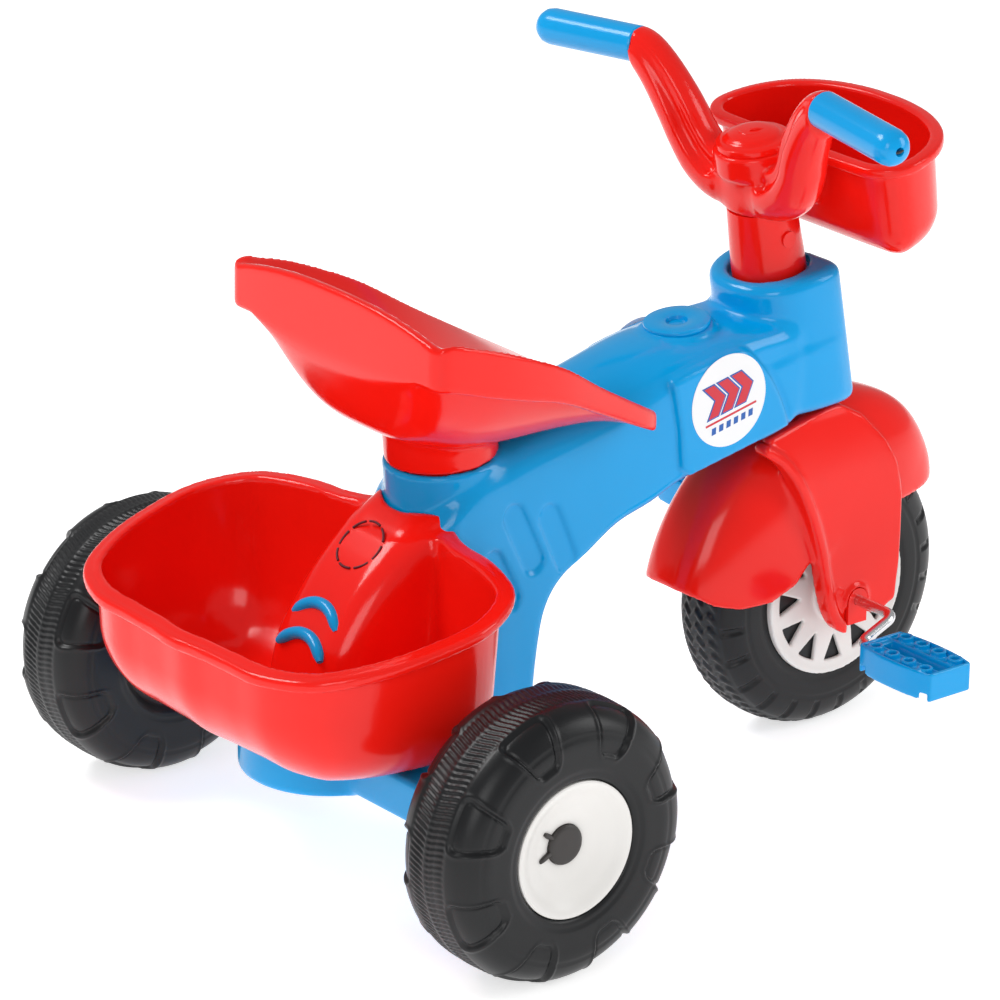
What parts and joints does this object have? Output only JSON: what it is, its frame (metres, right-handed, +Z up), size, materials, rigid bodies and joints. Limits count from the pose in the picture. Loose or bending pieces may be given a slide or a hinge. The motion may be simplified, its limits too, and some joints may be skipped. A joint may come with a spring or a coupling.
{
  "type": "children's tricycle",
  "caption": "Child's moulded tricycle with a pedal-driven steered front wheel, scoop seat, rear tub and front basket.",
  "frame": {"origin": "on the floor, under the middle of the tricycle's length and width", "axes": "+X forward, +Y to the rider's left, +Z up"},
  "size_m": [0.6971, 0.5226, 0.5242],
  "materials": {
    "red_plastic": "glossy moulded",
    "blue_plastic": "glossy moulded",
    "black_plastic": "satin blow-moulded",
    "white_plastic": "glossy moulded",
    "steel": "bright drawn",
    "zinc_steel": "plated",
    "badge_vinyl": "printed vinyl",
    "black_nylon": "moulded"
  },
  "bodies": {
    "frame": {"main_frame": "blue_plastic", "badge_left": "badge_vinyl", "badge_right": "badge_vinyl", "beam_cap": "blue_plastic", "head_bush_upper": "black_nylon", "head_bush_lower": "black_nylon", "seat": "red_plastic", "rear_tub": "red_plastic", "tub_hooks": "blue_plastic", "tub_screws": "zinc_steel", "rear_axle": "steel", "axle_spacers": "zinc_steel", "axle_cap_left": "black_nylon", "axle_cap_right": "black_nylon"},
    "steering": {"fork": "red_plastic", "crank_bush_left": "black_nylon", "crank_bush_right": "black_nylon", "steering_column": "red_plastic", "column_pin": "red_plastic", "handlebar": "red_plastic", "handlebar_cap": "red_plastic", "grip_left": "blue_plastic", "grip_right": "blue_plastic", "front_basket": "red_plastic", "basket_screws": "zinc_steel"},
    "front_wheel": {"front_tyre": "black_plastic", "front_hubcap_left": "white_plastic", "front_hubcap_right": "white_plastic", "crank_sleeve": "black_nylon", "crank": "steel", "pedal_retainers": "zinc_steel"},
    "pedal_left": {"pedal_left": "blue_plastic"},
    "pedal_right": {"pedal_right": "blue_plastic"},
    "rear_wheel_left": {"rear_tyre_left": "black_plastic", "rear_hubcap_left": "white_plastic", "rear_hub_bush_left": "black_nylon"},
    "rear_wheel_right": {"rear_tyre_right": "black_plastic", "rear_hubcap_right": "white_plastic", "rear_hub_bush_right": "black_nylon"}
  },
  "joints": [
    {"name": "steering", "type": "hinge", "parent": "frame", "child": "steering", "pos_m": [0.234, 0, 0.109], "axis": [-0.1891, 0, 0.982], "range_deg": [-45, 45]},
    {"name": "front_wheel_spin", "type": "hinge", "parent": "steering", "child": "front_wheel", "pos_m": [0.234, 0, 0.109], "axis": [0, 1, 0], "continuous": true},
    {"name": "pedal_left_spin", "type": "hinge", "parent": "front_wheel", "child": "pedal_left", "pos_m": [0.266, 0.1525, 0.1225], "axis": [0, 1, 0], "continuous": true},
    {"name": "pedal_right_spin", "type": "hinge", "parent": "front_wheel", "child": "pedal_right", "pos_m": [0.202, -0.1525, 0.0955], "axis": [0, 1, 0], "continuous": true},
    {"name": "rear_wheel_left_spin", "type": "hinge", "parent": "frame", "child": "rear_wheel_left", "pos_m": [-0.2014, 0.2218, 0.1], "axis": [0, 1, 0], "continuous": true},
    {"name": "rear_wheel_right_spin", "type": "hinge", "parent": "frame", "child": "rear_wheel_right", "pos_m": [-0.2014, -0.2218, 0.1], "axis": [0, 1, 0], "continuous": true}
  ]
}
